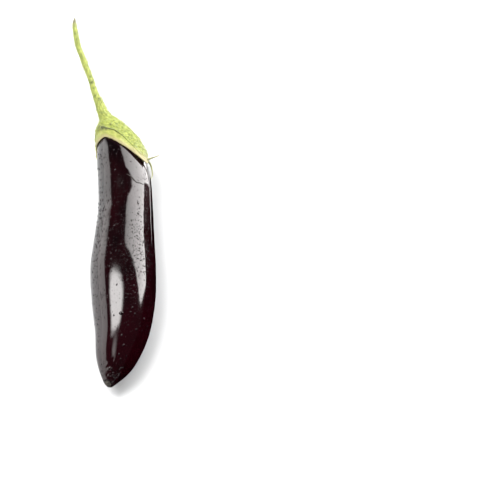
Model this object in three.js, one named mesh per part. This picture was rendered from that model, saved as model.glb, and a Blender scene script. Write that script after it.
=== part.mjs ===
// A long, slender eggplant as picked, lying on its side: one glossy fruit, and one green piece
// of calyx and stalk that grips its shoulder. Units are millimetres. +Y runs towards the stalk,
// +Z is up, and the origin is the middle of the small flat spot that the fruit rests on.
import * as THREE from "three";

// The fruit's axis from the stalk's end to the blossom's end, as y, x, z and the radius there.
// It leans to -X at the shoulder, is slimmest below it, and droops at the blossom's end.
const FRUIT_STATIONS = [
  [113.5, -17.5, 22.5, 0],
  [109.5, -17, 22.5, 5.5],
  [100, -14, 22, 10.5],
  [84, -8, 21, 16],
  [64.5, -3.5, 20, 18],
  [41, -1.5, 18.5, 18.5],
  [17.5, -1, 19, 20],
  [-6, -0.5, 20, 21.5],
  [-29.5, 1, 19.5, 20.5],
  [-51, 1, 18, 17.5],
  [-71, -2.5, 15.5, 12.5],
  [-82.5, -5, 13.5, 6],
  [-88, -5.5, 13, 0],
];
// Low swellings that keep the fruit from being a turned shape: share of the radius, how many times
// each repeats around, its direction in degrees, and its twist from end to end in degrees.
const SWELLINGS = [
  [0.013, 2, 35, 60],
  [0.009, 3, 80, -90],
  [0.005, 5, 20, 140],
];

// The stalk's axis from the fruit to the cut end, in the same way.
const STALK_STATIONS = [
  [113.5, -18.5, 22.5, 4.4],
  [118, -21, 24, 3.6],
  [124, -23.5, 25.5, 3.1],
  [130, -26, 26.5, 2.4],
  [136.5, -28.5, 28, 2.1],
  [145.5, -31.5, 30, 1.9],
  [158.5, -36.5, 32, 2.0],
  [171.5, -41.5, 34.5, 1.8],
  [185, -44.5, 36.5, 1.6],
  [195.5, -46, 38, 1.0],
];
const STALK_RIBS = 5;
const STALK_RIB_SHARE = 0.06;
const CUT_SLANT = 3.5;

// The calyx's lobes: direction in degrees from straight up towards +X, how far the point lies from
// the fruit's end, and the half widths in degrees towards lower and towards higher directions.
const LOBES = [
  [56, 45.8, 88, 38],
  [115, 31, 24, 25],
  [160, 35, 20, 25],
  [205, 32, 20, 21],
  [245, 28, 19, 27],
];
const GULLEY_REACH = 19.5;
// Lobes are pointed triangles at 0 and rounded tongues at 1.
const LOBE_ROUNDNESS = 0.75;
const CALYX_GAP = 0.3;
// The calyx stands off the skin more the further it reaches, by this much at the longest lobe.
const TIP_LIFT = 1.8;
// From the rim inwards: a thin smooth collar, then a crease and thicker flesh, ridged on each lobe.
const RIM_THICKNESS = 0.7;
const COLLAR_THICKNESS = 1;
const FLESH_THICKNESS = 1.5;
const RIM_WIDTH = 2;
// The crease lies at these shares of the way to the rim, in a gulley and on a lobe's midline, and
// draws nearer to the rim between these depths into the lobe.
const GULLEY_CREASE = 0.6;
const TIP_CREASE = 0.93;
const CREASE_DRAWS_NEAR = [0.42, 0.85];
const CREASE_HALF_WIDTH = 1;
const KEEL_HEIGHT = 0.6;
const KEEL_RISE = 9;
const KEEL_HALF_WIDTH = 14;
// A knuckle where the longest lobe leaves the shoulder: direction and half width in degrees,
// height, and how far down the lobe it fades.
const KNUCKLE_MIDDLE = 45;
const KNUCKLE_HALF_WIDTH = 30;
const KNUCKLE_HEIGHT = 0.75;
const KNUCKLE_LENGTH = 5;
// The calyx turns into the stalk between this far from the fruit's end and this y, and leaves
// both at a slant for this share of the way.
const SHOULDER_REACH = 5;
const FLARE_END = 120;
const FLARE_PULL = 0.45;

const FRUIT_AROUND = 44;
const STEPS_A_STATION = 5;
const GREEN_AROUND = 72;
const UNDER_STEPS = 12;
const COLLAR_STEPS = 3;
const OVER_STEPS = 6;
const FLARE_STEPS = 4;
const STALK_STEP = 5.5;

const UP = new THREE.Vector3(0, 0, 1);
const { clamp, degToRad, euclideanModulo, lerp, smoothstep } = THREE.MathUtils;

// A smooth track through stations. With round ends, it is mirrored about each end, so that the
// radius leaves the end point at a right angle.
function makeTrack(stations, roundEnds) {
  const last = stations.length - 1;
  const centres = stations.map(([y, x, z]) => new THREE.Vector3(x, y, z));
  const radii = stations.map((station) => new THREE.Vector3(station[3], 0, 0));
  const straightOn = (end, next) => end.clone().multiplyScalar(2).sub(next);
  const extend = (list, before, after) =>
    new THREE.CatmullRomCurve3([before, ...list, after], false, "catmullrom");
  const centreLine = roundEnds
    ? extend(centres, centres[1], centres[last - 1])
    : extend(centres, straightOn(centres[0], centres[1]), straightOn(centres[last], centres[last - 1]));
  const radiusLine = roundEnds
    ? extend(radii, radii[1].clone().negate(), radii[last - 1].clone().negate())
    : extend(radii, radii[0], radii[last]);
  const share = (index) => (clamp(index, 0, last) + 1) / (last + 2);
  const centreAt = (index) => centreLine.getPoint(share(index));

  // The station number, with its fraction, at a y.
  function indexAt(y) {
    const downwards = stations[last][0] < stations[0][0];
    let i = 0;
    while (i < last - 1 && (downwards ? y < stations[i + 1][0] : y > stations[i + 1][0])) {
      i += 1;
    }
    return i + (y - stations[i][0]) / (stations[i + 1][0] - stations[i][0]);
  }

  function yAt(index) {
    const i = Math.min(Math.floor(index), last - 1);
    return lerp(stations[i][0], stations[i + 1][0], index - i);
  }

  // The axis point and radius at a station number, with the directions along, up and to +X.
  function frameAt(index) {
    const along = centreAt(index + 0.5).sub(centreAt(index - 0.5)).normalize();
    const up = UP.clone().addScaledVector(along, -UP.dot(along)).normalize();
    const side = new THREE.Vector3().crossVectors(up, along);
    if (side.x < 0) {
      side.negate();
    }
    return { centre: centreAt(index), radius: radiusLine.getPoint(share(index)).x, along, up, side };
  }
  return { last, indexAt, yAt, frameAt };
}

const fruitTrack = makeTrack(FRUIT_STATIONS, true);
const stalkTrack = makeTrack(STALK_STATIONS, false);
const fruitEnd = FRUIT_STATIONS[0][0];
const stalkEnd = STALK_STATIONS[STALK_STATIONS.length - 1][0];

// A point off a track's axis, in a direction from straight up towards +X.
function pointAround(frame, degrees, radius) {
  const angle = degToRad(degrees);
  return frame.centre
    .clone()
    .addScaledVector(frame.up, radius * Math.cos(angle))
    .addScaledVector(frame.side, radius * Math.sin(angle));
}

// A point of the fruit's skin. What would reach below the table is pressed flat on it.
function skinPoint(degrees, index) {
  const frame = fruitTrack.frameAt(index);
  let radius = frame.radius;
  for (const [share, repeats, direction, twist] of SWELLINGS) {
    const away = degrees - direction - (twist * index) / fruitTrack.last;
    radius += frame.radius * share * Math.cos(degToRad(repeats * away));
  }
  const point = pointAround(frame, degrees, radius);
  point.z = Math.max(point.z, 0);
  return point;
}

// The fruit's station number, with its fraction, at a distance from the stalk's end of the fruit.
function fruitIndex(distance) {
  return fruitTrack.indexAt(fruitEnd - distance);
}

// A point over the skin, at a station number of the fruit and a height off the skin.
function pointOverSkin(degrees, index, height) {
  const degreeStep = 1;
  const indexStep = 0.04;
  const middle = Math.max(index, 2 * indexStep);
  const around = skinPoint(degrees + degreeStep, middle).sub(skinPoint(degrees - degreeStep, middle));
  const along = skinPoint(degrees, middle + indexStep).sub(skinPoint(degrees, middle - indexStep));
  const outwards = new THREE.Vector3().crossVectors(along, around).normalize();
  return skinPoint(degrees, index).addScaledVector(outwards, height);
}

// The turn from one direction to another, from -180 to 180 degrees.
function turn(from, to) {
  return euclideanModulo(to - from + 180, 360) - 180;
}

// A low bump, 1 in its middle and 0 from its half width on.
function bump(away, halfWidth) {
  const share = Math.min(Math.abs(away) / halfWidth, 1);
  return (1 - share * share) ** 2;
}

// How the calyx lies in one direction: how far its rim reaches, the width of its collar, and the
// heights of its keel and its knuckle.
function calyxIn(degrees) {
  let inLobe = 0;
  let reach = GULLEY_REACH;
  let keel = 0;
  for (const [middle, point, lower, higher] of LOBES) {
    const away = turn(middle, degrees);
    const share = 1 - Math.abs(away) / (away < 0 ? lower : higher);
    if (share > 0) {
      inLobe = share;
      reach = lerp(GULLEY_REACH, point, lerp(share, smoothstep(share, 0, 1), LOBE_ROUNDNESS));
    }
    keel += KEEL_HEIGHT * bump(away, KEEL_HALF_WIDTH);
  }
  const crease = lerp(GULLEY_CREASE, TIP_CREASE, smoothstep(inLobe, ...CREASE_DRAWS_NEAR));
  const collar = reach * (1 - crease);
  const knuckle = KNUCKLE_HEIGHT * bump(turn(KNUCKLE_MIDDLE, degrees), KNUCKLE_HALF_WIDTH);
  return { reach, collar, keel, knuckle };
}

function underHeight(distance) {
  const share = Math.max(distance - GULLEY_REACH, 0) / (LOBES[0][1] - GULLEY_REACH);
  return CALYX_GAP + TIP_LIFT * share * share;
}

function overHeight(calyx, distance) {
  const fromRim = calyx.reach - distance;
  const crease = smoothstep(fromRim, calyx.collar - CREASE_HALF_WIDTH, calyx.collar + CREASE_HALF_WIDTH);
  const body = lerp(COLLAR_THICKNESS, FLESH_THICKNESS, crease);
  const thickness = lerp(RIM_THICKNESS, body, smoothstep(fromRim, 0, RIM_WIDTH));
  const keel = calyx.keel * smoothstep(fromRim, 0, KEEL_RISE);
  const knuckle = calyx.knuckle * (1 - smoothstep(distance, SHOULDER_REACH, SHOULDER_REACH + KNUCKLE_LENGTH));
  return underHeight(distance) + thickness + keel + knuckle;
}

// Distances from the fruit's end for the rings of the calyx's outside: along the rim and the
// crease, then evenly up to the shoulder.
function overDistances(calyx) {
  const aboveCrease = calyx.reach - calyx.collar - CREASE_HALF_WIDTH;
  const belowCrease = aboveCrease + 2 * CREASE_HALF_WIDTH;
  const distances = [];
  for (let step = 0; step <= COLLAR_STEPS; step += 1) {
    distances.push(lerp(calyx.reach, belowCrease, step / COLLAR_STEPS));
  }
  for (let step = 0; step <= OVER_STEPS; step += 1) {
    distances.push(lerp(aboveCrease, SHOULDER_REACH, step / OVER_STEPS));
  }
  return distances;
}

function stalkPoint(degrees, y) {
  const frame = stalkTrack.frameAt(stalkTrack.indexAt(y));
  const rib = STALK_RIB_SHARE * Math.cos(degToRad(STALK_RIBS * degrees));
  return pointAround(frame, degrees, frame.radius * (1 + rib));
}

// One strip of the green piece in one direction: the underside from the middle out to the rim,
// back over the outside to the shoulder, up the flare, and along the stalk to the slanting cut.
function greenStrip(degrees) {
  const calyx = calyxIn(degrees);
  const strip = [];
  const rim = fruitIndex(calyx.reach);
  for (let step = 1; step <= UNDER_STEPS; step += 1) {
    const index = (rim * step) / UNDER_STEPS;
    strip.push(pointOverSkin(degrees, index, underHeight(fruitEnd - fruitTrack.yAt(index))));
  }
  for (const distance of overDistances(calyx)) {
    strip.push(pointOverSkin(degrees, fruitIndex(distance), overHeight(calyx, distance)));
  }
  const [before, shoulder] = strip.slice(-2);
  const base = stalkPoint(degrees, FLARE_END);
  const pull = shoulder.distanceTo(base) * FLARE_PULL;
  const leaving = shoulder.clone().sub(before).setLength(pull).add(shoulder);
  const arriving = base.clone().sub(stalkPoint(degrees, FLARE_END + 1)).setLength(pull).add(base);
  const flare = new THREE.CubicBezierCurve3(shoulder, leaving, arriving, base);
  for (let step = 1; step < FLARE_STEPS; step += 1) {
    strip.push(flare.getPoint(step / FLARE_STEPS));
  }

  for (let y = FLARE_END; y < stalkEnd - CUT_SLANT - STALK_STEP / 2; y += STALK_STEP) {
    strip.push(stalkPoint(degrees, y));
  }
  const cutBack = CUT_SLANT * (0.5 - 0.5 * Math.sin(degToRad(degrees)));
  const cutPoint = stalkPoint(degrees, stalkEnd);
  strip.push(cutPoint.addScaledVector(stalkTrack.frameAt(stalkTrack.last).along, -cutBack));
  return strip;
}

// A closed surface from strips of equally many points that share a first and a last point.
function surfaceFromStrips(first, strips, last) {
  const length = strips[0].length;
  const points = [first, ...strips.flat(), last];
  const at = (strip, i) => 1 + (strip % strips.length) * length + i;
  const faces = [];
  strips.forEach((_, strip) => {
    const next = strip + 1;
    faces.push(0, at(strip, 0), at(next, 0));
    for (let i = 0; i < length - 1; i += 1) {
      faces.push(at(strip, i), at(strip, i + 1), at(next, i));
      faces.push(at(next, i), at(strip, i + 1), at(next, i + 1));
    }
    faces.push(at(strip, length - 1), points.length - 1, at(next, length - 1));
  });
  const geometry = new THREE.BufferGeometry().setFromPoints(points);
  geometry.setIndex(faces);
  geometry.computeVertexNormals();
  return geometry;
}

function evenDirections(count) {
  return Array.from({ length: count }, (_, i) => (360 * i) / count);
}

function fruitGeometry() {
  const rings = fruitTrack.last * STEPS_A_STATION - 1;
  const strips = evenDirections(FRUIT_AROUND).map((degrees) =>
    Array.from({ length: rings }, (_, ring) => skinPoint(degrees, (ring + 1) / STEPS_A_STATION)));
  return surfaceFromStrips(skinPoint(0, 0), strips, skinPoint(0, fruitTrack.last));
}

// The strips go the other way around than the fruit's, because they start on the hollow side.
function greenGeometry() {
  const strips = evenDirections(GREEN_AROUND).reverse().map(greenStrip);
  const hollowMiddle = skinPoint(0, 0).addScaledVector(fruitTrack.frameAt(0).along, -CALYX_GAP);
  const cutMiddle = strips
    .reduce((sum, strip) => sum.add(strip[strip.length - 1]), new THREE.Vector3())
    .divideScalar(strips.length);
  return surfaceFromStrips(hollowMiddle, strips, cutMiddle);
}

function named(name, geometry, material) {
  const mesh = new THREE.Mesh(geometry, material);
  mesh.name = name;
  return mesh;
}

const glossySkin = new THREE.MeshStandardMaterial({ color: 0x1a0a12, roughness: 0.16 });
const green = new THREE.MeshStandardMaterial({ color: 0xb9cc5a, roughness: 0.62 });

const eggplant = new THREE.Group();
eggplant.add(named("fruit", fruitGeometry(), glossySkin));
eggplant.add(named("calyx_and_stalk", greenGeometry(), green));

export default eggplant;
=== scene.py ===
import math

import bpy
import numpy as np
from mathutils import Matrix


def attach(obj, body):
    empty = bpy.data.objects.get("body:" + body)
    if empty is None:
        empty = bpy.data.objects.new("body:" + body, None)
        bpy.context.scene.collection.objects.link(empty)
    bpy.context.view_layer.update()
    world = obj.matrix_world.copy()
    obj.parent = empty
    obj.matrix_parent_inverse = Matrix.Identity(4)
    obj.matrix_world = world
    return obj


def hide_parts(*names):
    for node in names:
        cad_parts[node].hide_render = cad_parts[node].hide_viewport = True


# A long, slender eggplant as picked, wet and glossy, lying on a white table among softboxes.
# Shapes are worked out in millimetres in the model's own frame, and made in metres.

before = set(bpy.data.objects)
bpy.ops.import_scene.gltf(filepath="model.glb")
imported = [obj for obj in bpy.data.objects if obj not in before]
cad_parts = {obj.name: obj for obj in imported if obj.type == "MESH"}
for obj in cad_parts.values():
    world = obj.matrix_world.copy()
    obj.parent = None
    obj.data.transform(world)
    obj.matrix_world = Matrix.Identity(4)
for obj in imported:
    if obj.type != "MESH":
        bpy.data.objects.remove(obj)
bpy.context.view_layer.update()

METRES = 0.001
# Every ripple and every random draw adds a seed of its own to this one.
SEED = 7

# The fruit's axis from the stalk's end to the blossom's end, as y, x, z and the radius there.
FRUIT_STATIONS = [
    [113.5, -17.5, 22.5, 0],
    [109.5, -17, 22.5, 5.5],
    [100, -14, 22, 10.5],
    [84, -8, 21, 16],
    [64.5, -3.5, 20, 18],
    [41, -1.5, 18.5, 18.5],
    [17.5, -1, 19, 20],
    [-6, -0.5, 20, 21.5],
    [-29.5, 1, 19.5, 20.5],
    [-51, 1, 18, 17.5],
    [-71, -2.5, 15.5, 12.5],
    [-82.5, -5, 13.5, 6],
    [-88, -5.5, 13, 0],
]
# Low swellings: share of the radius, repeats around, direction and twist from end to end.
SWELLINGS = [
    [0.013, 2, 35, 60],
    [0.009, 3, 80, -90],
    [0.005, 5, 20, 140],
]
# The stalk's axis from the fruit to the cut end, in the same way.
STALK_STATIONS = [
    [113.5, -18.5, 22.5, 4.4],
    [118, -21, 24, 3.6],
    [124, -23.5, 25.5, 3.1],
    [130, -26, 26.5, 2.4],
    [136.5, -28.5, 28, 2.1],
    [145.5, -31.5, 30, 1.9],
    [158.5, -36.5, 32, 2.0],
    [171.5, -41.5, 34.5, 1.8],
    [185, -44.5, 36.5, 1.6],
    [195.5, -46, 38, 1.0],
]
STALK_RIBS = 5
STALK_RIB_SHARE = 0.06
CUT_SLANT = 3.5

# The calyx's lobes: middle direction in degrees from straight up towards +X, reach of the point
# from the fruit's end, and half widths in degrees towards lower and towards higher directions.
LOBES = [
    [56, 45.8, 88, 38],
    [115, 31, 24, 25],
    [160, 35, 20, 25],
    [205, 32, 20, 21],
    [245, 28, 19, 27],
]
GULLEY_REACH = 19.5
LOBE_ROUNDNESS = 0.75
CALYX_GAP = 0.3
TIP_LIFT = 1.8
RIM_THICKNESS = 0.7
COLLAR_THICKNESS = 1
FLESH_THICKNESS = 1.5
RIM_WIDTH = 2
GULLEY_CREASE = 0.6
TIP_CREASE = 0.93
CREASE_DRAWS_NEAR = [0.42, 0.85]
CREASE_HALF_WIDTH = 1
KEEL_HEIGHT = 0.6
KEEL_RISE = 9
KEEL_HALF_WIDTH = 14
KNUCKLE_MIDDLE = 45
KNUCKLE_HALF_WIDTH = 30
KNUCKLE_HEIGHT = 0.75
KNUCKLE_LENGTH = 5
SHOULDER_REACH = 5
FLARE_END = 120
FLARE_PULL = 0.45

UP = np.array([0.0, 0.0, 1.0])
NEARLY_UP = UP + [0.31, 0.17, 0]  # no tube runs this way, so rings are set out from it
RIPPLE_WAVES = 14
RIPPLE_LENGTHS = [0.7, 1.4]
RIPPLE_LIMIT = 2


def lerp(start, end, share):
    return start + (end - start) * share


def smoothstep(value, start, end):
    share = np.clip((value - start) / (end - start), 0, 1)
    return share * share * (3 - 2 * share)


def bell(distance, width):
    return np.exp(-((distance / width) ** 2))


def unit(vectors):
    return vectors / np.maximum(np.linalg.norm(vectors, axis=-1, keepdims=True), 1e-9)


def turn(start, end):
    """The turn from one direction to another, from -180 to 180 degrees."""
    return (end - start + 180) % 360 - 180


def ripple(points, wavelength, seed, height=1, stretch=(1, 1, 1)):
    """Smooth noise, mostly within its height: plane waves in random directions."""
    draw = np.random.default_rng(SEED + seed)
    directions = unit(draw.normal(size=(RIPPLE_WAVES, 3)))
    lengths = wavelength * draw.uniform(*RIPPLE_LENGTHS, RIPPLE_WAVES)
    phases = draw.uniform(0, 2 * math.pi, RIPPLE_WAVES)
    turns = (points * np.array(stretch)) @ directions.T * (2 * math.pi / lengths)
    total = np.sin(turns + phases).sum(-1) / math.sqrt(RIPPLE_WAVES)
    return height * np.clip(total, -RIPPLE_LIMIT, RIPPLE_LIMIT)


class Track:
    """A smooth line through stations, with a radius. With round ends it is mirrored about each."""

    def __init__(self, stations, round_ends):
        table = np.array(stations, float)
        self.y = table[:, 0]
        knots = table[:, [1, 0, 2, 3]]
        if round_ends:
            before, after = knots[1] * [1, 1, 1, -1], knots[-2] * [1, 1, 1, -1]
        else:
            before, after = 2 * knots[0] - knots[1], 2 * knots[-1] - knots[-2]
            before[3], after[3] = knots[0, 3], knots[-1, 3]
        self.knots = np.vstack([before, knots, after])
        self.last = len(knots) - 1

    def at(self, index):
        """x, y, z and radius at station numbers, with their fractions."""
        index = np.clip(index, 0, self.last)
        start = np.minimum(index.astype(int), self.last - 1)
        share = (index - start)[..., None]
        before, first, second, after = (self.knots[start + k] for k in range(4))
        leaving, arriving = (second - before) / 2, (after - first) / 2
        square = 3 * (second - first) - 2 * leaving - arriving
        cube = 2 * (first - second) + leaving + arriving
        return first + leaving * share + square * share**2 + cube * share**3

    def frame(self, index):
        """Centre, radius, and the directions along, up and to +X."""
        index = np.asarray(index, float)
        place = self.at(index)
        along = unit(self.at(index + 0.5)[..., :3] - self.at(index - 0.5)[..., :3])
        up = unit(UP - along * along[..., 2:])
        side = np.cross(up, along)
        side = side * np.where(side[..., :1] < 0, -1, 1)
        return place[..., :3], place[..., 3], along, up, side

    def index_at(self, y):
        order = np.argsort(self.y)
        return np.interp(y, self.y[order], order.astype(float))

    def y_at(self, index):
        return np.interp(index, np.arange(self.last + 1), self.y)


fruit_track = Track(FRUIT_STATIONS, True)
stalk_track = Track(STALK_STATIONS, False)
FRUIT_END = FRUIT_STATIONS[0][0]
STALK_END = STALK_STATIONS[-1][0]


def around(track_frame, degrees, radius):
    """Points off an axis, in directions from straight up towards +X."""
    centre, _, _, up, side = track_frame
    angle = np.radians(degrees)[..., None]
    return centre + np.asarray(radius)[..., None] * (up * np.cos(angle) + side * np.sin(angle))


def skin_point(degrees, index, relief=0):
    """Points of the fruit's skin. What would reach below the table is pressed flat on it."""
    degrees, index = np.broadcast_arrays(np.asarray(degrees, float), np.asarray(index, float))
    place = fruit_track.frame(index)
    radius = place[1].copy()
    for share, repeats, direction, twist in SWELLINGS:
        away = degrees - direction - twist * index / fruit_track.last
        radius += place[1] * share * np.cos(np.radians(repeats * away))
    points = around(place, degrees, radius + relief)
    points[..., 2] = np.maximum(points[..., 2], 0)
    return points


def skin_normal(degrees, index):
    """The direction straight out of the smooth skin."""
    degree_step, index_step = 1, 0.04
    middle = np.clip(index, 2 * index_step, fruit_track.last - 2 * index_step)
    across = skin_point(degrees + degree_step, middle) - skin_point(degrees - degree_step, middle)
    along = skin_point(degrees, middle + index_step) - skin_point(degrees, middle - index_step)
    return unit(np.cross(along, across))


def over_skin(degrees, index, height):
    """Points by direction and station number, at a height off the skin."""
    height = np.asarray(height, float)[..., None]
    return skin_point(degrees, index) + skin_normal(degrees, index) * height


def on_skin(degrees, y, height=0.0):
    """Points by direction and y, at a height off the skin."""
    degrees, y = np.broadcast_arrays(np.asarray(degrees, float), np.asarray(y, float))
    return over_skin(degrees, fruit_track.index_at(y), np.broadcast_to(height, y.shape))


# Meshes

def closed_faces(strips, length):
    """Faces of a closed surface of strips between a first and a last point."""
    starts = [1 + strip * length for strip in range(strips)]
    pairs = list(zip(starts, starts[1:] + starts[:1]))
    last = 1 + strips * length
    faces = [(0, a, b) for a, b in pairs]
    for i in range(length - 1):
        faces += [(a + i, a + i + 1, b + i + 1, b + i) for a, b in pairs]
    return faces + [(a + length - 1, last, b + length - 1) for a, b in pairs]


def closed_points(first, grid, last):
    return np.vstack([first[None], grid.reshape(-1, 3), last[None]])


def new_piece(name, points, faces, material, replaced=()):
    """A smooth mesh piece that rides on the eggplant's body."""
    mesh = bpy.data.meshes.new(name)
    mesh.from_pydata((points * METRES).tolist(), [], faces)
    mesh.validate()
    mesh.shade_smooth()
    mesh.materials.append(material)
    piece = bpy.data.objects.new(name, mesh)
    bpy.context.scene.collection.objects.link(piece)
    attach(piece, "root")
    if replaced:
        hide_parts(*replaced)
    return piece


def store(piece, name, first, values, last):
    """Keeps one number for each point of a closed piece, for its material to read."""
    attribute = piece.data.attributes.new(name, "FLOAT", "POINT")
    values = np.hstack([first, values.ravel(), last])
    attribute.data.foreach_set("value", values.astype(np.float32))


def joined(parts):
    """Points and faces of several meshes as one."""
    points, faces, start = [], [], 0
    for part_points, part_faces in parts:
        points.append(part_points)
        faces += [tuple(start + i for i in face) for face in part_faces]
        start += len(part_points)
    return np.vstack(points), faces


def tube(path, radii, sides=8):
    """A closed tube along a path, with its ends drawn to a point."""
    path = np.asarray(path, float)
    along = unit(np.gradient(path, axis=0))
    side = unit(np.cross(along, NEARLY_UP))
    up = np.cross(side, along)
    angles = np.linspace(0, 2 * math.pi, sides, endpoint=False)
    ring = np.cos(angles)[:, None, None] * side + np.sin(angles)[:, None, None] * up
    grid = path + ring * np.asarray(radii)[None, :, None]
    first, last = path[0] - along[0] * radii[0], path[-1] + along[-1] * radii[-1]
    return closed_points(first, grid, last), closed_faces(sides, len(path))


def smooth_path(points, steps):
    """A smooth path of even steps through a few points."""
    track = Track([[y, x, z, 1] for x, y, z in points], False)
    return track.at(np.linspace(0, track.last, steps))[:, :3]


# The fruit

SKIN_AROUND = 240
SKIN_STEPS_A_STATION = 28
SKIN_RIPPLES = [
    {"height": 0.06, "wavelength": 42, "seed": 0},
    {"height": 0.02, "wavelength": 15, "seed": 1},
    {"height": 0.006, "wavelength": 5, "seed": 2},
]
# The rough scar where the blossom was. Its edge is ragged, and fades from a share of its radius out.
SCAR_CENTRE = [-7.5, -86.3, 14.2]
SCAR_RADIUS = 4.2
SCAR_FADES_FROM = 0.55
SCAR_EDGE = {"height": 0.7, "wavelength": 2.2, "seed": 11}
SCAR_GRAIN = {"height": 0.28, "wavelength": 1.7, "seed": 12}
# Wrinkles around one place near the tip.
WRINKLES_AT = {"degrees": 12, "y": -79}
WRINKLES_SPREAD = 6
WRINKLES = {"height": 0.3, "wavelength": 3, "seed": 13}
# The skin is paler this far below the calyx. It reddens towards the tip, fully at the first y and
# not at all from the second on, with an uneven edge.
PALE_LENGTH = 6
RED_SPAN = [-84, 12]
RED_EDGE = {"height": 6, "wavelength": 16, "seed": 14}


def scar_mask(points):
    """1 on the rough scar where the blossom was, 0 on the smooth skin, with a ragged edge."""
    away = np.linalg.norm(points - SCAR_CENTRE, axis=-1) + ripple(points, **SCAR_EDGE)
    return 1 - smoothstep(away, SCAR_FADES_FROM * SCAR_RADIUS, SCAR_RADIUS)


def skin_relief(points, scar):
    """Heights of the skin's low waves, of the scar's grain and of the wrinkles near the tip."""
    waves = sum(ripple(points, **wave) for wave in SKIN_RIPPLES)
    away = np.linalg.norm(points - on_skin(**WRINKLES_AT), axis=-1)
    wrinkles = bell(away, WRINKLES_SPREAD) * ripple(points, **WRINKLES)
    return waves + scar * ripple(points, **SCAR_GRAIN) + wrinkles


def make_fruit(material):
    rings = np.arange(1, fruit_track.last * SKIN_STEPS_A_STATION) / SKIN_STEPS_A_STATION
    degrees = np.arange(SKIN_AROUND)[:, None] * 360 / SKIN_AROUND
    smooth = skin_point(degrees, rings[None])
    scar = scar_mask(smooth)
    grid = skin_point(degrees, rings[None], skin_relief(smooth, scar))
    points = closed_points(skin_point(0, 0), grid, skin_point(0, fruit_track.last))
    faces = closed_faces(SKIN_AROUND, len(rings))
    piece = new_piece("glossy_fruit", points, faces, material, ["fruit"])
    y = grid[..., 1]
    below_calyx = FRUIT_END - y - calyx_in(np.broadcast_to(degrees, y.shape))["reach"]
    store(piece, "scar", 0, scar, 1)
    store(piece, "near_calyx", 1, 1 - smoothstep(below_calyx, 0, PALE_LENGTH), 0)
    store(piece, "near_tip", 0, 1 - smoothstep(y + ripple(grid, **RED_EDGE), *RED_SPAN), 1)


# The calyx and the stalk

GREEN_AROUND = 288
UNDER_STEPS = 30
RIM_STEPS = 7
COLLAR_STEPS = 14
CREASE_STEPS = 12
FLESH_STEPS = 44
FLARE_STEPS = 22
STALK_STEP = 0.7
CUT_RINGS = 5
# The rounded rim turns this many degrees to each side, and the outside starts a little before it.
RIM_TURN = 70
RIM_OVERLAP = 0.1
# What counts as the distance in from the rim on the hidden underside, and past the calyx.
UNDER_FROM_RIM = -9
FAR_FROM_RIM = 60
# The crease between the collar and the flesh. It ends between two shares of the way into a lobe,
# it is uneven, and it fades at the left of its dimple, around one direction.
CREASE_DEPTH = 0.6
CREASE_WIDTH = 0.72
CREASE_ENDS = [0.48, 0.72]
CREASE_MEAN = 0.95
CREASE_LIMITS = [0.5, 1]
CREASE_RIPPLE = {"height": 0.35, "wavelength": 13, "seed": 27}
CREASE_FADES = {"degrees": -64, "spread": 27, "share": 0.9}
# Small bumps and dents as direction, y, height and half width, on the calyx and on the stalk. The dents
# also get painted shade.
CALYX_BUMPS = [
    [46, 108.5, 0.7, 2.4], [-27, 101.2, -1.2, 1.8], [-42, 103.8, -0.9, 1.5],
    [-16, 98.9, -0.6, 1.1], [3, 101.4, -0.4, 0.9], [24, 104.6, -0.3, 0.8],
]
CALYX_HEIGHT = 2.1
STALK_BUMPS = [
    [20, 128.3, -0.4, 1.0], [-10, 126.5, 0.5, 1.5], [35, 131, 0.4, 1.2], [0, 141.5, -0.3, 0.9],
]
# Lumps of three sizes, and veins that run along the calyx.
LUMPS = [
    {"height": 0.18, "wavelength": 7, "seed": 21},
    {"height": 0.10, "wavelength": 2.6, "seed": 22},
    {"height": 0.05, "wavelength": 1.3, "seed": 26},
]
VEINS = {"height": 0.09, "wavelength": 2.2, "seed": 23, "stretch": (1, 0.22, 1)}
# The stalk has a share of the lumps. Its ridges waver, in radians, and are lower above its lower
# part, which also has small knots.
STALK_LUMPS = 0.4
RIDGE_COUNT = 11
RIDGE_HEIGHT = 0.16
UPPER_RIDGES = 0.35
RIDGE_WAVER = {"height": 0.6, "wavelength": 9, "seed": 24}
KNOT_HEIGHT = 0.22
KNOT_RIPPLE = {"wavelength": 2.4, "seed": 25, "stretch": (1, 0.6, 1)}
LOWER_STALK = [126, 146]
# The joint in the stalk and the groove past it, as y, height and half width.
STALK_JOINT = [[140, 0.28, 1.2], [142, -0.12, 1]]
# Relief is low on the rim and the cut, and rises over a length in from the rim. The stalk's own
# relief and colour begin at a step of the flare.
RIM_RELIEF = 0.15
CUT_RELIEF = 0.3
RELIEF_RISE = 2.5
STALK_FROM_STEP = 4
# The collar's colour blends over short lengths at the crease and at the rim, and is weaker on the
# lobes' points. The cream of the rim reaches so far in, first away from the long lobe and then
# along it. The stalk dries out between two distances from its end.
COLLAR_BLEND = 0.6
RIM_BLEND = 1
COLLAR_ON_POINTS = 0.35
CREAM_WIDTHS = [2.0, 5.0]
CREAM_SPREAD = 42
DRY_END = [11, 3]
# How free of hairs the collar is, and the crease and the dents.
COLLAR_BARE = 0.85
CREASE_BARE = 1.6


def low_bump(away, half_width):
    """1 in its middle and 0 from its half width on."""
    share = np.minimum(np.abs(away) / half_width, 1)
    return (1 - share**2) ** 2


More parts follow.
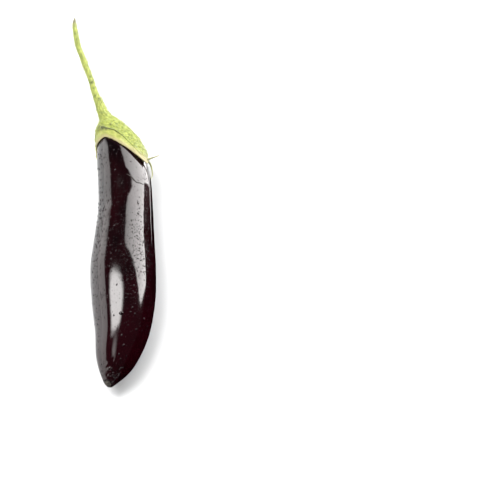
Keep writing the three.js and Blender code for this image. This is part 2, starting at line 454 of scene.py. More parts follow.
def calyx_in(degrees):
    """How the calyx lies in each direction, as in the solid."""
    in_lobe = np.zeros_like(degrees)
    reach = np.full_like(degrees, GULLEY_REACH)
    keel = np.zeros_like(degrees)
    for middle, point, lower, higher in LOBES:
        away = turn(middle, degrees)
        share = 1 - np.abs(away) / np.where(away < 0, lower, higher)
        inside = share > 0
        in_lobe = np.where(inside, share, in_lobe)
        rounded = lerp(share, smoothstep(share, 0, 1), LOBE_ROUNDNESS)
        reach = np.where(inside, lerp(GULLEY_REACH, point, rounded), reach)
        keel = keel + KEEL_HEIGHT * low_bump(away, KEEL_HALF_WIDTH)
    crease = lerp(GULLEY_CREASE, TIP_CREASE, smoothstep(in_lobe, *CREASE_DRAWS_NEAR))
    knuckle = KNUCKLE_HEIGHT * low_bump(turn(KNUCKLE_MIDDLE, degrees), KNUCKLE_HALF_WIDTH)
    return {"in_lobe": in_lobe, "reach": reach, "collar": reach * (1 - crease), "keel": keel,
            "knuckle": knuckle}


def under_height(distance):
    share = np.maximum(distance - GULLEY_REACH, 0) / (LOBES[0][1] - GULLEY_REACH)
    return CALYX_GAP + TIP_LIFT * share**2


def over_height(calyx, distance):
    from_rim = calyx["reach"] - distance
    low, high = calyx["collar"] - CREASE_HALF_WIDTH, calyx["collar"] + CREASE_HALF_WIDTH
    body = lerp(COLLAR_THICKNESS, FLESH_THICKNESS, smoothstep(from_rim, low, high))
    thickness = lerp(RIM_THICKNESS, body, smoothstep(from_rim, 0, RIM_WIDTH))
    keel = calyx["keel"] * smoothstep(from_rim, 0, KEEL_RISE)
    past_knuckle = smoothstep(distance, SHOULDER_REACH, SHOULDER_REACH + KNUCKLE_LENGTH)
    return under_height(distance) + thickness + keel + calyx["knuckle"] * (1 - past_knuckle)


def under_side(degrees, calyx):
    """The hollow underside, from the fruit's end to the rim."""
    rim = fruit_track.index_at(FRUIT_END - calyx["reach"])
    index = rim * np.arange(1, UNDER_STEPS + 1) / UNDER_STEPS
    distance = FRUIT_END - fruit_track.y_at(index)
    return over_skin(degrees, index, under_height(distance))


def rim_bead(degrees, calyx):
    """The rim is rounded from the underside to the outside."""
    angle = np.radians(np.linspace(-RIM_TURN, RIM_TURN, RIM_STEPS))
    half = RIM_THICKNESS / 2
    distance = calyx["reach"] + half * np.cos(angle)
    height = under_height(calyx["reach"]) + half * (1 + np.sin(angle))
    return over_skin(degrees, fruit_track.index_at(FRUIT_END - distance), height), distance


def outside(degrees, calyx):
    """From the rim over the collar and the crease to the shoulder."""
    reach = calyx["reach"]
    below = reach - calyx["collar"] + CREASE_HALF_WIDTH
    above = below - 2 * CREASE_HALF_WIDTH
    spans = [[reach - RIM_OVERLAP, below, COLLAR_STEPS], [below, above, CREASE_STEPS],
             [above, SHOULDER_REACH, FLESH_STEPS]]
    distance = np.hstack([lerp(start, end, np.arange(steps) / steps) for start, end, steps in spans])
    distance = np.hstack([distance, np.full_like(reach, SHOULDER_REACH)])
    index = fruit_track.index_at(FRUIT_END - distance)
    return over_skin(degrees, index, over_height(calyx, distance)), distance


def stalk_surface(degrees, y):
    degrees, y = np.broadcast_arrays(np.asarray(degrees, float), np.asarray(y, float))
    place = stalk_track.frame(stalk_track.index_at(y))
    rib = STALK_RIB_SHARE * np.cos(np.radians(STALK_RIBS * degrees))
    return around(place, degrees, place[1] * (1 + rib))


def flare(degrees, before, shoulder):
    """A bend from the calyx's shoulder into the stalk."""
    base = stalk_surface(degrees, np.full_like(degrees, FLARE_END))
    pull = np.linalg.norm(base - shoulder, axis=-1, keepdims=True) * FLARE_PULL
    leaving = shoulder + unit(shoulder - before) * pull
    arriving = base + unit(base - stalk_surface(degrees, np.full_like(degrees, FLARE_END + 1))) * pull
    share = (np.arange(1, FLARE_STEPS) / FLARE_STEPS)[None, :, None]
    rest = 1 - share
    return (rest**3 * shoulder + 3 * rest**2 * share * leaving
            + 3 * rest * share**2 * arriving + share**3 * base)


def cut_end(degrees):
    """The slanting cut, from its edge to near its middle."""
    edge = stalk_surface(degrees, np.full_like(degrees, STALK_END))
    along = stalk_track.frame(np.float64(stalk_track.last))[2]
    edge = edge - along * (CUT_SLANT * (0.5 - 0.5 * np.sin(np.radians(degrees))))[..., None]
    middle = edge.mean(0, keepdims=True)
    inwards = (np.arange(CUT_RINGS) / CUT_RINGS)[None, :, None]
    return lerp(edge, middle, inwards), middle[0, 0]


def grid_normals(grid):
    """Normals of a grid that closes on itself around, pointing out of the green piece."""
    across = np.roll(grid, -1, 0) - np.roll(grid, 1, 0)
    along = np.gradient(grid, axis=1)
    return unit(np.cross(across, along))


def bumps_and_dents(points):
    """Heights of the small bumps and dents, and how deep in a dent each point is, from 0 to 1."""
    heights, dented = 0, 0
    for spots, on_stalk in ((CALYX_BUMPS, False), (STALK_BUMPS, True)):
        for degrees, y, height, width in spots:
            centre = stalk_surface(degrees, y) if on_stalk else on_skin(degrees, y, CALYX_HEIGHT)
            near = bell(np.linalg.norm(points - centre, axis=-1), width)
            heights = heights + height * near
            dented = np.maximum(dented, near * (height < 0))
    return heights, dented


class GreenStrips:
    """The green piece as strips along it, each of six parts: the hollow underside, the rim, the
    outside, the flare, the stalk and the cut."""

    def __init__(self):
        self.degrees = -np.arange(GREEN_AROUND)[:, None] * 360 / GREEN_AROUND
        self.calyx = calyx_in(self.degrees)
        under = under_side(self.degrees, self.calyx)
        rim, rim_distance = rim_bead(self.degrees, self.calyx)
        over, over_distance = outside(self.degrees, self.calyx)
        bend = flare(self.degrees, over[:, -2:-1], over[:, -1:])
        self.stalk_y = np.arange(FLARE_END, STALK_END - CUT_SLANT - STALK_STEP, STALK_STEP)
        stalk = stalk_surface(self.degrees, self.stalk_y[None])
        cut, self.cut_middle = cut_end(self.degrees)
        parts = (under, rim, over, bend, stalk, cut)
        self.grid = np.concatenate(parts, axis=1)
        self.counts = [part.shape[1] for part in parts]
        self.over_from_rim = self.calyx["reach"] - over_distance
        self.from_rim = self.spread(UNDER_FROM_RIM, self.calyx["reach"] - rim_distance,
                                    self.over_from_rim, FAR_FROM_RIM, FAR_FROM_RIM, FAR_FROM_RIM)

    def spread(self, *values):
        """One value or row of values for each of the six parts, as one array for the grid."""
        rows = [np.broadcast_to(value, (GREEN_AROUND, count))
                for value, count in zip(values, self.counts)]
        return np.concatenate(rows, axis=1)


def off_points(calyx):
    """0 in directions of the lobes' points and 1 between them."""
    return 1 - smoothstep(calyx["in_lobe"], *CREASE_ENDS)


def crease_share(strips):
    """How deep the crease is at each point, from 0 to 1."""
    uneven = np.clip(CREASE_MEAN + ripple(strips.grid, **CREASE_RIPPLE), *CREASE_LIMITS)
    fading = bell(turn(CREASE_FADES["degrees"], strips.degrees), CREASE_FADES["spread"])
    uneven = uneven * (1 - CREASE_FADES["share"] * fading)
    line = np.where(strips.from_rim > 0, bell(strips.from_rim - strips.calyx["collar"], CREASE_WIDTH), 0)
    return line * off_points(strips.calyx) * uneven


def stalk_relief(strips):
    """Heights of the stalk's ridges, its knots and its joint."""
    points = strips.grid
    lower = 1 - smoothstep(points[..., 1], *LOWER_STALK)
    waver = ripple(points, **RIDGE_WAVER)
    ridges = RIDGE_HEIGHT * np.cos(np.radians(RIDGE_COUNT * strips.degrees) + waver)
    knots = KNOT_HEIGHT * np.maximum(ripple(points, **KNOT_RIPPLE), 0) ** 2
    joint = sum(height * bell(points[..., 1] - y, width) for y, height, width in STALK_JOINT)
    return joint + lerp(UPPER_RIDGES, 1, lower) * ridges + lower * knots


def green_relief(strips, crease, stalk):
    """Heights of the lumps, the veins, the stalk's relief, the small bumps and the crease."""
    points = strips.grid
    lumps = sum(ripple(points, **lump) for lump in LUMPS)
    on_calyx = (1 - stalk) * (lumps + ripple(points, **VEINS))
    on_stalk = stalk * (stalk_relief(strips) + STALK_LUMPS * lumps)
    bumps, _ = bumps_and_dents(points)
    return on_calyx + on_stalk + bumps - CREASE_DEPTH * crease


def collar_share(strips):
    """1 on the smooth collar from the rim to the crease, and 0 elsewhere."""
    crease_at = strips.calyx["collar"]
    past = smoothstep(strips.from_rim, crease_at - COLLAR_BLEND, crease_at + COLLAR_BLEND)
    return smoothstep(strips.from_rim, -RIM_BLEND, 0) * (1 - past)


def cream_share(strips):
    """1 on the rim and fading in from it, and 0 on the underside."""
    width = lerp(*CREAM_WIDTHS, bell(turn(LOBES[0][0], strips.degrees), CREAM_SPREAD))
    return bell(strips.from_rim, width) * (strips.from_rim > UNDER_FROM_RIM)


def make_green(material):
    """Makes the piece, and returns its grid and how free of hairs each point of it is."""
    strips = GreenStrips()
    crease = crease_share(strips)
    outer = strips.spread(0, RIM_RELIEF, smoothstep(strips.over_from_rim, 0, RELIEF_RISE), 1, 1,
                          CUT_RELIEF)
    into_stalk = smoothstep(np.arange(1, FLARE_STEPS), STALK_FROM_STEP, FLARE_STEPS)
    stalk = strips.spread(0, 0, 0, into_stalk, 1, 1)
    relief = outer * green_relief(strips, crease, stalk)
    grid = strips.grid + grid_normals(strips.grid) * relief[..., None]
    hollow_middle = skin_point(0, 0) - fruit_track.frame(0.0)[2] * CALYX_GAP
    points = closed_points(hollow_middle, grid, strips.cut_middle)
    faces = closed_faces(GREEN_AROUND, grid.shape[1])
    piece = new_piece("green_calyx_and_stalk", points, faces, material, ["calyx_and_stalk"])

    collar = collar_share(strips)
    _, dented = bumps_and_dents(grid)
    dry_from, dry_to = STALK_END - np.array(DRY_END)
    dry = strips.spread(0, 0, 0, 0, smoothstep(strips.stalk_y, dry_from, dry_to), 1)
    store(piece, "collar", 0, collar * lerp(COLLAR_ON_POINTS, 1, off_points(strips.calyx)), 0)
    store(piece, "rim", 0, cream_share(strips), 0)
    # This mask paints shade: it darkens the green's colour in the crease and in the dents.
    store(piece, "crease", 0, np.maximum(crease, dented * outer), 0)
    store(piece, "stalk", 0, stalk, 1)
    store(piece, "cut", 0, dry, 1)
    bare = np.maximum(COLLAR_BARE * collar, CREASE_BARE * np.maximum(crease, dented))
    return grid, np.clip(bare, 0, 1)


def triangles_of(grid):
    """Corners of the triangles of a grid that closes on itself around."""
    a, b = grid[:, :-1], np.roll(grid, -1, 0)[:, :-1]
    c, d = np.roll(grid, -1, 0)[:, 1:], grid[:, 1:]
    first = np.stack([a, d, c], axis=2).reshape(-1, 3, 3)
    second = np.stack([a, c, b], axis=2).reshape(-1, 3, 3)
    return np.concatenate([first, second])


HAIR_SEED = 40
HAIR_COUNT = 17000
HAIR_RADII = [0.03, 0.13]
HAIR_LENGTHS = [0.4, 3.2]
HAIR_SINK = 0.15
# How far hairs lean, and how much rarer long ones are than short ones.
HAIR_LEAN = 0.42
LONG_HAIR_RARITY = 3.4


def hair_roots(grid, bare, draw):
    """Random places over the outside of the green piece, and the directions out of it there."""
    shown = slice(UNDER_STEPS + RIM_STEPS // 2, -CUT_RINGS)
    corners = triangles_of(grid[:, shown])
    normals = np.cross(corners[:, 1] - corners[:, 0], corners[:, 2] - corners[:, 0])
    areas = np.linalg.norm(normals, axis=1)
    hairy = areas * (1 - np.tile(bare[:, shown][:, :-1].ravel(), 2))
    chosen = draw.choice(len(corners), HAIR_COUNT, p=hairy / hairy.sum())
    shares = draw.dirichlet([1, 1, 1], HAIR_COUNT)
    return (corners[chosen] * shares[..., None]).sum(1), unit(normals[chosen])


def make_hairs(grid, bare, material):
    """Short hairs over the outside of the green piece, as slim three-sided spikes."""
    draw = np.random.default_rng(SEED + HAIR_SEED)
    roots, out = hair_roots(grid, bare, draw)
    lean = unit(out + draw.normal(0, HAIR_LEAN, out.shape))
    longer = draw.random(HAIR_COUNT)[:, None] ** LONG_HAIR_RARITY
    length, radius = lerp(*HAIR_LENGTHS, longer), lerp(*HAIR_RADII, longer)
    side = unit(np.cross(lean, unit(draw.normal(size=out.shape))))
    other = np.cross(lean, side)
    roots = roots - out * HAIR_SINK
    points = [roots + lean * length]
    for corner in range(3):
        angle = corner * 2 * math.pi / 3
        points.append(roots + (side * math.cos(angle) + other * math.sin(angle)) * radius)
    points = np.stack(points, axis=1).reshape(-1, 3)
    faces = []
    for a, b, c in ((0, 1, 2), (0, 2, 3), (0, 3, 1), (1, 3, 2)):
        faces += [(i + a, i + b, i + c) for i in range(0, len(points), 4)]
    new_piece("fine_hairs", points, faces, material)


# The withered tail of the long lobe as direction, y and height off the skin, then a stiff bristle
# beside it, as steps from where the tail starts.
TAIL = [[58, 69.5, 2.6], [65, 68.5, 2.8], [70, 66, 2.6], [72, 63, 2.2], [71, 60.5, 1.7], [67, 58.8, 1.3]]
TAIL_RADII = [0.75, 0.2]
TAIL_STEPS = 30
BRISTLE = [[-1.6, 0.4, -0.3], [1.2, 1.2, 0.6], [4.2, 2.1, 1.1], [7.8, 3.5, 1.4]]
BRISTLE_RADII = [0.8, 0.3]
BRISTLE_STEPS = 14
# The other lobes end in short dry awls: direction and y from the lobe's point, and height.
AWL = [[0, 2.0, 1.2], [0.5, 0.5, 1.1], [3, -1.6, 0.95], [7, -3.2, 0.75]]
AWL_RADII = [0.6, 0.12]
AWL_STEPS = 12


def make_dry_tips(material):
    tail = on_skin(*np.array(TAIL).T)
    routes = [(tail, TAIL_RADII, TAIL_STEPS), (tail[0] + BRISTLE, BRISTLE_RADII, BRISTLE_STEPS)]
    for middle, point, _, _ in LOBES[1:]:
        awl = np.array(AWL) + [middle, FRUIT_END - point, 0]
        routes.append((on_skin(*awl.T), AWL_RADII, AWL_STEPS))
    tubes = [tube(smooth_path(route, steps), np.linspace(*radii, steps)) for route, radii, steps in routes]
    points, faces = joined(tubes)
    new_piece("dry_lobe_tips", points, faces, material)


# A healed scratch across the neck, as direction and y. Its line and its width are uneven, and it
# tapers to blunt ends.
SCRATCH_SEED = 60
SCRATCH = [[8, 58.2], [13, 57.3], [17, 56.7], [21, 54.9], [24, 53.6], [30, 52.5], [37, 52.5], [46, 52.2]]
SCRATCH_HALF_WIDTH = 0.62
SCRATCH_HEIGHT = 0.3
SCRATCH_STEPS = 70
SCRATCH_SIDES = 10
SCRATCH_WAVER = 0.12
SCRATCH_WIDTH_SHARES = [0.6, 1.25]
SCRATCH_BLUNTNESS = 0.05
SCRATCH_END = 0.2


def make_scratch(material):
    draw = np.random.default_rng(SEED + SCRATCH_SEED)
    degrees, y = np.array(SCRATCH, float).T
    share = np.linspace(0, len(SCRATCH) - 1, SCRATCH_STEPS)
    degrees = np.interp(share, np.arange(len(SCRATCH)), degrees)
    y = np.interp(share, np.arange(len(SCRATCH)), y) + draw.normal(0, SCRATCH_WAVER, SCRATCH_STEPS)
    centre, out = on_skin(degrees, y), skin_normal(degrees, fruit_track.index_at(y))
    along = unit(np.gradient(centre, axis=0))
    side = np.cross(out, along)
    taper = np.sin(np.linspace(SCRATCH_BLUNTNESS, math.pi - SCRATCH_BLUNTNESS, SCRATCH_STEPS)) ** 0.5
    half = SCRATCH_HALF_WIDTH * taper * draw.uniform(*SCRATCH_WIDTH_SHARES, SCRATCH_STEPS)
    angles = np.linspace(0, 2 * math.pi, SCRATCH_SIDES, endpoint=False)
    ring = (np.cos(angles)[:, None, None] * side * half[None, :, None]
            + np.sin(angles)[:, None, None] * out * SCRATCH_HEIGHT)
    first, last = centre[0] - along[0] * SCRATCH_END, centre[-1] + along[-1] * SCRATCH_END
    points = closed_points(first, centre + ring, last)
    new_piece("healed_scratch", points, closed_faces(SCRATCH_SIDES, SCRATCH_STEPS), material)


# Water drops. The larger ones that show are placed by direction, y and radius.
DROP_SEED = 80
LARGE_DROPS = [
    [2, -45.7, 1.35], [31, 35.9, 0.95], [31, 26.9, 0.95], [18, 19.8, 0.8], [37, 20.8, 0.7],
    [20, 16.6, 0.6], [-58, 13.1, 0.7], [-55, 4.6, 0.75], [53, -46.1, 0.8], [21, -63.2, 0.75],
    [16, -69.2, 0.6], [25, -71.7, 0.6], [4, -77.4, 0.9], [19, -81.3, 0.9], [-47, 85.7, 0.6],
]
# Smaller ones lie in patches: direction and its spread, y and its spread, how many, and the smallest
# and largest radius. None lie near the calyx or on the underside, and none past the ends.
DROP_PATCHES = [
    [34, 11, 6, 17, 300, 0.26, 0.62],
    [54, 10, 60, 8, 80, 0.26, 0.60],
    [-50, 14, 14, 50, 480, 0.28, 0.68],
    [0, 50, 0, 50, 170, 0.26, 0.65],
    [28, 20, 10, 24, 1200, 0.13, 0.24],
    [-10, 50, 0, 50, 1200, 0.12, 0.22],
]
DROP_ENDS = [-84, 92]
DROP_FROM_CALYX = 1.5
DRY_BELOW = 150
# The height and depths of a drop are shares of its radius. It is squeezed to one side and a little
# off round, at a direction that differs from drop to drop.
DROP_RISE = 0.62
DROP_SINK = 0.12
DROP_BOTTOM = 0.22
DROP_SQUEEZES = [0.78, 1.15]
DROP_WOBBLES = [0, 0.07]
WOBBLE_TURN = 30
DROP_SIDES = 12
DROP_RINGS = 5
TINY_RADIUS = 0.24
TINY_SIDES = 7
TINY_RINGS = 3


def drop_places(draw):
    """Direction, y and radius of each drop."""
    rows = [np.array(LARGE_DROPS)]
    for direction, direction_spread, middle, spread, count, smallest, largest in DROP_PATCHES:
        degrees = draw.normal(direction, direction_spread, count)
        y = np.clip(draw.normal(middle, spread, count), *DROP_ENDS)
        radius = lerp(smallest, largest, draw.uniform(0, 1, count) ** 2)
        below_calyx = FRUIT_END - y - calyx_in(degrees)["reach"]
        clear = (below_calyx > DROP_FROM_CALYX) & (np.abs(degrees) < DRY_BELOW)
        rows.append(np.stack([degrees, y, radius], axis=1)[clear])
    return np.vstack(rows)


def drop(centre, out, along, radius, squeeze, wobble):
    """A low dome of water that sits a little into the skin."""
    side = np.cross(out, along)
    tiny = radius <= TINY_RADIUS
    sides, rings = (TINY_SIDES, TINY_RINGS) if tiny else (DROP_SIDES, DROP_RINGS)
    angles = np.linspace(0, 2 * math.pi, sides, endpoint=False)
    height = np.linspace(0, 1, rings, endpoint=False)
    ring_radius = radius * np.sqrt(1 - height**2)
    shape = 1 + wobble * np.cos(2 * angles + wobble * WOBBLE_TURN)
    flat = np.cos(angles)[:, None] * side * squeeze + np.sin(angles)[:, None] * along / squeeze
    spread = flat[:, None] * (shape[:, None] * ring_radius)[..., None]
    grid = centre + spread + out * (radius * (height * DROP_RISE - DROP_SINK))[None, :, None]
    bottom = centre - out * radius * DROP_BOTTOM
    top = centre + out * radius * (DROP_RISE - DROP_SINK)
    return closed_points(bottom, grid, top), closed_faces(sides, rings)


def make_drops(material):
    draw = np.random.default_rng(SEED + DROP_SEED)
    degrees, y, radii = drop_places(draw).T
    centres, out = on_skin(degrees, y), skin_normal(degrees, fruit_track.index_at(y))
    along = unit(np.cross(np.cross(out, [0.0, 1.0, 0.0]), out))
    squeezes = draw.uniform(*DROP_SQUEEZES, len(radii))
    wobbles = draw.uniform(*DROP_WOBBLES, len(radii))
    points, faces = joined([drop(*values) for values in zip(centres, out, along, radii, squeezes, wobbles)])
    new_piece("water_drops", points, faces, material)


# Materials

def new_material(name):
    material = bpy.data.materials.new(name)
    material.use_nodes = True
    tree = material.node_tree
    return material, tree, tree.nodes["Principled BSDF"]


def connect(tree, socket, value):
    """Links a socket to another one, or sets its value."""
    if isinstance(value, bpy.types.NodeSocket):
        tree.links.new(value, socket)
    else:
        socket.default_value = value


def feed(tree, node, **values):
    """Connects sockets of a node by name, with _ for each space."""
    for name, value in values.items():
        connect(tree, node.inputs[name.replace("_", " ")], value)


def add_node(tree, kind, settings=None, **sockets):
    node = tree.nodes.new(kind)
    for key, value in (settings or {}).items():
        setattr(node, key, value)
    feed(tree, node, **sockets)
    return node


def noise(tree, scale, detail=3.0, stretch=(1, 1, 1), roughness=0.55):
    """Noise over the surface, with the number of its waves in a metre as its scale."""
    place = add_node(tree, "ShaderNodeTexCoord").outputs["Object"]
    mapped = add_node(tree, "ShaderNodeMapping", Vector=place, Scale=stretch)
    texture = add_node(tree, "ShaderNodeTexNoise", Vector=mapped.outputs[0], Scale=scale,
                       Detail=detail, Roughness=roughness)
    return texture.outputs["Fac"]


def ramp(tree, value, *stops):
    """Colours or greys along a value, as pairs of position and colour."""
    node = add_node(tree, "ShaderNodeValToRGB", Fac=value)
    elements = node.color_ramp.elements
    while len(elements) < len(stops):
        elements.new(0.5)
    for element, (position, colour) in zip(elements, stops):
        element.position = position
        element.color = (colour,) * 3 + (1,) if isinstance(colour, float) else (*colour, 1)
    return node.outputs["Color"]


def attribute(tree, name):
    return add_node(tree, "ShaderNodeAttribute", {"attribute_name": name}).outputs["Fac"]


# Numbers of the mix node's sockets for colours.
MIX_SHARE, MIX_FIRST, MIX_SECOND, MIX_RESULT = 0, 6, 7, 2


def mixed(tree, share, first, second):
    node = add_node(tree, "ShaderNodeMix", {"data_type": "RGBA"})
    for number, value in ((MIX_SHARE, share), (MIX_FIRST, first), (MIX_SECOND, second)):
        connect(tree, node.inputs[number], (*value, 1) if isinstance(value, tuple) else value)
    return node.outputs[MIX_RESULT]


def math_node(tree, operation, first, second):
    node = add_node(tree, "ShaderNodeMath", {"operation": operation})
    for socket, value in zip(node.inputs, (first, second)):
        connect(tree, socket, value)
    return node.outputs[0]


def bump(tree, height, strength, distance):
    node = add_node(tree, "ShaderNodeBump", Height=height, Strength=strength, Distance=distance)
    return node.outputs["Normal"]


def skin_material():
    """Near-black purple with maroon showing through in streaks, paler just below the calyx."""
    material, tree, shader = new_material("glossy_skin")
    clouds = noise(tree, 26, 4, (1, 0.4, 1))
    streaks = noise(tree, 420, 3, (1, 0.05, 1))
    dark = ramp(tree, clouds, (0.44, (0.0014, 0.0003, 0.0006)), (0.68, (0.0105, 0.0004, 0.0015)))
    streaked = mixed(tree, ramp(tree, streaks, (0.5, 0.0), (0.8, 0.45)), dark, (0.0075, 0.0004, 0.0012))
    near = mixed(tree, attribute(tree, "near_calyx"), streaked, (0.0090, 0.0020, 0.0038))
    near = mixed(tree, attribute(tree, "near_tip"), near, (0.0095, 0.0004, 0.0016))
    grain = noise(tree, 900, 4)
    scar_colour = ramp(tree, grain, (0.35, (0.007, 0.006, 0.005)), (0.75, (0.075, 0.066, 0.05)))
    scar = attribute(tree, "scar")
    colour = mixed(tree, scar, near, scar_colour)
    film = ramp(tree, noise(tree, 90, 5), (0.35, 0.06), (0.75, 0.13))
    roughness = mixed(tree, scar, film, (0.62, 0.62, 0.62))
    fine = bump(tree, noise(tree, 1500, 3, (1, 0.5, 1)), 0.05, 0.0002)
    feed(tree, shader, Base_Color=colour, Roughness=roughness, Normal=fine, IOR=1.5)
    return material


def green_material():
    """Lime flesh with mottling, a paler smooth collar with a cream rim, a duller stalk, and painted shade
    darkening the crease and the dents.
    """
    material, tree, shader = new_material("hairy_green_flesh")
    mottle = noise(tree, 680, 5)
    blotch = noise(tree, 130, 3)
    pale = ramp(tree, mottle, (0.40, 0.0), (0.60, 1.0))
    flesh = mixed(tree, pale, (0.09, 0.135, 0.008), (0.32, 0.36, 0.056))
    flesh = mixed(tree, ramp(tree, blotch, (0.45, 0.0), (0.75, 0.5)), flesh, (0.29, 0.32, 0.065))
    collar_colour = ramp(tree, mottle, (0.35, (0.165, 0.205, 0.024)), (0.68, (0.275, 0.285, 0.050)))
    coloured = mixed(tree, attribute(tree, "collar"), flesh, collar_colour)
    coloured = mixed(tree, attribute(tree, "rim"), coloured, (0.262, 0.228, 0.105))
    lines = noise(tree, 800, 5, (1, 0.35, 1))
    stalk_colour = ramp(tree, lines, (0.36, (0.105, 0.14, 0.014)), (0.60, (0.33, 0.37, 0.066)))
    coloured = mixed(tree, attribute(tree, "stalk"), coloured, stalk_colour)
    # Painted shade: the green is darkened to near-black in the crease and in the dents.
    coloured = mixed(tree, attribute(tree, "crease"), coloured, (0.016, 0.024, 0.003))
    cut_colour = ramp(tree, mottle, (0.35, (0.07, 0.07, 0.035)), (0.7, (0.20, 0.18, 0.10)))
    coloured = mixed(tree, attribute(tree, "cut"), coloured, cut_colour)
    feed(tree, shader, Base_Color=coloured, Roughness=ramp(tree, mottle, (0.3, 0.48), (0.7, 0.66)),
         Normal=bump(tree, mottle, 0.35, 0.0004), Sheen_Weight=0.15, Subsurface_Weight=0.12,
         Subsurface_Radius=(0.9, 1.0, 0.35), Subsurface_Scale=0.001)
    return material


def grained_material(name, grain, colours, relief=None, **settings):
    """A colour that varies with a fine grain, which can also stand out a little."""
    material, tree, shader = new_material(name)
    value = noise(tree, *grain)
    feed(tree, shader, Base_Color=ramp(tree, value, *colours), **settings)
    if relief:
        feed(tree, shader, Normal=bump(tree, value, *relief))
    return material


def hair_material():
    colours = [(0.35, (0.20, 0.26, 0.035)), (0.65, (0.43, 0.46, 0.13))]
    return grained_material("pale_hair", (420, 2), colours, Roughness=0.55)


def dry_material():
    colours = [(0.35, (0.17, 0.18, 0.06)), (0.7, (0.34, 0.35, 0.15))]
    return grained_material("withered_tip", (800, 4, (1, 0.4, 1)), colours, (0.4, 0.0003), Roughness=0.7)


def cork_material():
    colours = [(0.35, (0.004, 0.003, 0.0025)), (0.75, (0.028, 0.021, 0.017))]
    return grained_material("dark_cork", (1200, 4), colours, (0.5, 0.0002), Roughness=0.75)


def water_material():
    """Water over near-black skin: it shows the dark below it and its own sharp reflections."""
    colours = [(0.4, (0.0030, 0.0006, 0.0010)), (0.7, (0.0100, 0.0020, 0.0030))]
    return grained_material("water", (300, 2), colours, Roughness=0.03, IOR=1.36)


# The table, the lights and the camera

FLOOR_RADIUS = 0.8
TABLE_COLOUR = (0.635, 0.65, 0.66, 1)
TABLE_ROUGHNESS = 0.28
BACKDROP_RADIUS = 4.5
BACKDROP_WHITE = 1.05
WORLD_LEVEL = 0.05
LIGHT_TINT = (1.0, 0.978, 0.968, 1)
HIDDEN_WAYS = ["visible_diffuse", "visible_glossy", "visible_transmission", "visible_shadow",
               "visible_volume_scatter"]
# Softboxes. The azimuth runs from +Y towards +X, left_level is a share of the level, edge is the
# soft share of the half width, and corner is 2 for a round outline and more for a squarer one.
OVERHEAD = {"azimuth": -76, "elevation": 66, "roll": -6, "distance": 1.3, "width": 0.80, "height": 1.29,
            "level": 16.5, "left_level": 0.9, "edge": 0.42, "corner": 2.8}
BACK_RIGHT = {"azimuth": 38, "elevation": 26, "roll": -20, "distance": 1.3, "width": 2.1, "height": 1.22,
              "level": 15.6, "left_level": 0.24, "edge": 0.13, "corner": 5}
LEFT_CARD = {"azimuth": -88, "elevation": 10.5, "roll": 0, "distance": 1.3, "width": 2.45, "height": 0.92,
             "level": 3.7, "left_level": 0.5, "edge": 0.22, "corner": 6}
NEAR_GLOW = {"azimuth": -150, "elevation": 62, "roll": 20, "distance": 1.3, "width": 0.95, "height": 0.60,
             "level": 4.0, "left_level": 0.6, "edge": 0.9, "corner": 2}
# A white card low behind the neck and a black one along the right side, seen in reflections only:
# the first corner, then the two edges from it.
BOUNCE_CARD = {"corner": (0.070, 0.078, 0.001), "along": (-0.030, 0.038, 0), "up": (0, 0, 0.034)}
BOUNCE_LEVEL = 11
BLACK_CARD = {"corner": (0.044, 0.080, 0.004), "along": (-0.014, -0.190, 0), "up": (0.006, 0, 0.031)}
# The flag on the table follows the fruit's right side, from under its bulge out to a width past it,
# which grows towards the tip.
FLAG_START = 0.82
FLAG_WIDTHS = [24, 100]
FLAG_HEIGHT = 0.4
# Its last row lies past the tip: the near x, the far x and y.
FLAG_END = [-20, 170, -200]
UNSEEN_BUT_REFLECTED = ["visible_camera", "visible_diffuse", "visible_shadow", "visible_volume_scatter"]


def stage_object(name, points, faces, material):
    mesh = bpy.data.meshes.new(name)
    mesh.from_pydata([tuple(point) for point in points], [], faces)
    mesh.materials.append(material)
    item = bpy.data.objects.new(name, mesh)
    bpy.context.scene.collection.objects.link(item)
    return item


def disc(radius, height, sides=96):
    angles = [2 * math.pi * i / sides for i in range(sides)]
    ring = [(radius * math.cos(angle), radius * math.sin(angle), height) for angle in angles]
    return ring, [tuple(range(sides))]


def make_floor():
    material, tree, shader = new_material("white_table")
    feed(tree, shader, Base_Color=TABLE_COLOUR, Roughness=TABLE_ROUGHNESS)
    stage_object("table", *disc(FLOOR_RADIUS, 0), material)


def emitter(name, level):
    material = bpy.data.materials.new(name)
    material.use_nodes = True
    tree = material.node_tree
    tree.nodes.clear()
    light = add_node(tree, "ShaderNodeEmission", Strength=level, Color=LIGHT_TINT)
    out = add_node(tree, "ShaderNodeOutputMaterial")
    tree.links.new(light.outputs[0], out.inputs["Surface"])
    return material, tree, light


def make_backdrop():
    """A white surround that only the camera sees, past the table's edge."""
    material, _, _ = emitter("white_surround", BACKDROP_WHITE)
    bpy.ops.mesh.primitive_uv_sphere_add(segments=48, ring_count=24, radius=BACKDROP_RADIUS)
    surround = bpy.context.object
    surround.name = "surround"
    surround.data.materials.append(material)
    for way in HIDDEN_WAYS:
        setattr(surround, way, False)


def rounded_glow(tree, place, edge, corner):
    """1 inside a panel, fading to 0 towards its rounded outline."""
    parts = add_node(tree, "ShaderNodeSeparateXYZ", Vector=place)
    powers = []
    for axis in ("X", "Y"):
        away = math_node(tree, "ABSOLUTE", math_node(tree, "SUBTRACT", parts.outputs[axis], 0.5), 0)
        powers.append(math_node(tree, "POWER", math_node(tree, "MULTIPLY", away, 2), corner))
    radius = math_node(tree, "POWER", math_node(tree, "ADD", *powers), 1 / corner)
    soft = add_node(tree, "ShaderNodeMapRange", {"interpolation_type": "SMOOTHSTEP"}, Value=radius,
                    From_Min=1, From_Max=1 - edge)
    return soft.outputs[0], parts.outputs["X"]


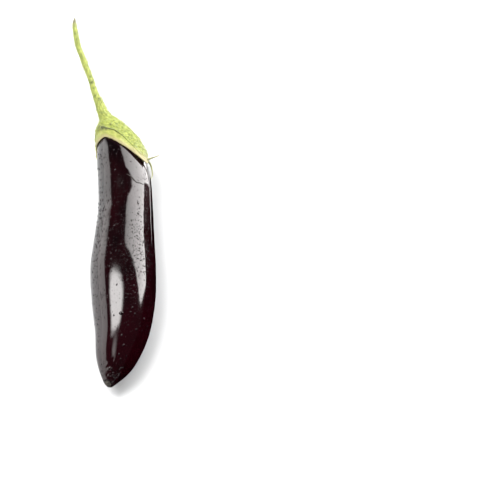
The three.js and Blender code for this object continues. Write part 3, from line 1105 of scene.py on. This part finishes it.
def panel_material(name, level, left_level, edge, corner):
    """Light that is bright to near a rounded outline, and dimmer or brighter at the left."""
    material, tree, light = emitter(name, level)
    place = add_node(tree, "ShaderNodeTexCoord").outputs["Generated"]
    glow, share_across = rounded_glow(tree, place, edge, corner)
    across = add_node(tree, "ShaderNodeMapRange", Value=share_across, To_Min=left_level)
    strength = math_node(tree, "MULTIPLY", across.outputs[0], math_node(tree, "MULTIPLY", glow, level))
    tree.links.new(strength, light.inputs["Strength"])
    return material


def softbox(name, azimuth, elevation, roll, distance, width, height, **glow):
    """A glowing panel that faces the eggplant, which the camera doesn't see."""
    turned, raised, tilt = (math.radians(angle) for angle in (azimuth, elevation, roll))
    level_away = np.array([math.sin(turned), math.cos(turned), 0.0])
    away = level_away * math.cos(raised) + UP * math.sin(raised)
    level_right = np.array([math.cos(turned), -math.sin(turned), 0.0])
    level_top = np.cross(level_right, away)
    right = level_right * math.cos(tilt) + level_top * math.sin(tilt)
    top = level_top * math.cos(tilt) - level_right * math.sin(tilt)
    corners = [(-0.5, -0.5), (0.5, -0.5), (0.5, 0.5), (-0.5, 0.5)]
    points = [(x * width, y * height, 0.0) for x, y in corners]
    item = stage_object(name, points, [(0, 1, 2, 3)], panel_material(name, **glow))
    matrix = np.eye(4)
    matrix[:3, 0], matrix[:3, 1], matrix[:3, 2] = right, top, -away
    matrix[:3, 3] = away * distance
    item.matrix_world = Matrix(matrix.tolist())
    item.visible_camera = False


def reflected_only(name, level, points, faces):
    """Something of even brightness that shows in reflections only."""
    material, _, _ = emitter(name, level)
    item = stage_object(name, points, faces, material)
    for way in UNSEEN_BUT_REFLECTED:
        setattr(item, way, False)


def card(name, level, corner, along, up):
    corner, along, up = np.array(corner), np.array(along), np.array(up)
    points = [corner, corner + along, corner + along + up, corner + up]
    reflected_only(name, level, points, [(0, 1, 2, 3)])


def make_ground_flag():
    """A black flag that keeps the white table out of the skin's right edge."""
    stations = FRUIT_STATIONS[3:]
    widths = lerp(*FLAG_WIDTHS, np.linspace(0, 1, len(stations)) ** 3)
    rows = [[x + radius * FLAG_START, x + radius + width, y]
            for (y, x, _, radius), width in zip(stations, widths)]
    rows.append(FLAG_END)
    points = [np.array([x, y, FLAG_HEIGHT]) * METRES for near, far, y in rows for x in (near, far)]
    faces = [(i, i + 1, i + 3, i + 2) for i in range(0, len(points) - 2, 2)]
    reflected_only("ground_flag", 0, points, faces)


def make_world():
    world = bpy.data.worlds.new("dim_studio")
    bpy.context.scene.world = world
    world.use_nodes = True
    tree = world.node_tree
    feed(tree, tree.nodes["Background"], Color=(1, 1, 1, 1), Strength=WORLD_LEVEL)


CAMERA_PLACE = (0.083455, -0.3866, 0.704174)
CAMERA_ELEVATION = 60
CAMERA_LENS = 85


def make_camera():
    camera = bpy.data.objects.new("camera", bpy.data.cameras.new("camera"))
    camera.data.lens = CAMERA_LENS
    camera.location = CAMERA_PLACE
    camera.rotation_euler = (math.radians(90 - CAMERA_ELEVATION), 0, 0)
    bpy.context.scene.collection.objects.link(camera)
    bpy.context.scene.camera = camera


make_camera()
make_world()
make_floor()
make_backdrop()
softbox("overhead_softbox", **OVERHEAD)
softbox("back_softbox", **BACK_RIGHT)
softbox("left_card", **LEFT_CARD)
softbox("near_glow", **NEAR_GLOW)
card("bounce_card", BOUNCE_LEVEL, **BOUNCE_CARD)
card("black_card", 0, **BLACK_CARD)
make_ground_flag()

make_fruit(skin_material())
green_grid, bare = make_green(green_material())
make_hairs(green_grid, bare, hair_material())
make_dry_tips(dry_material())
make_scratch(cork_material())
make_drops(water_material())

bpy.context.scene.view_settings.view_transform = "Standard"

bpy.context.view_layer.update()
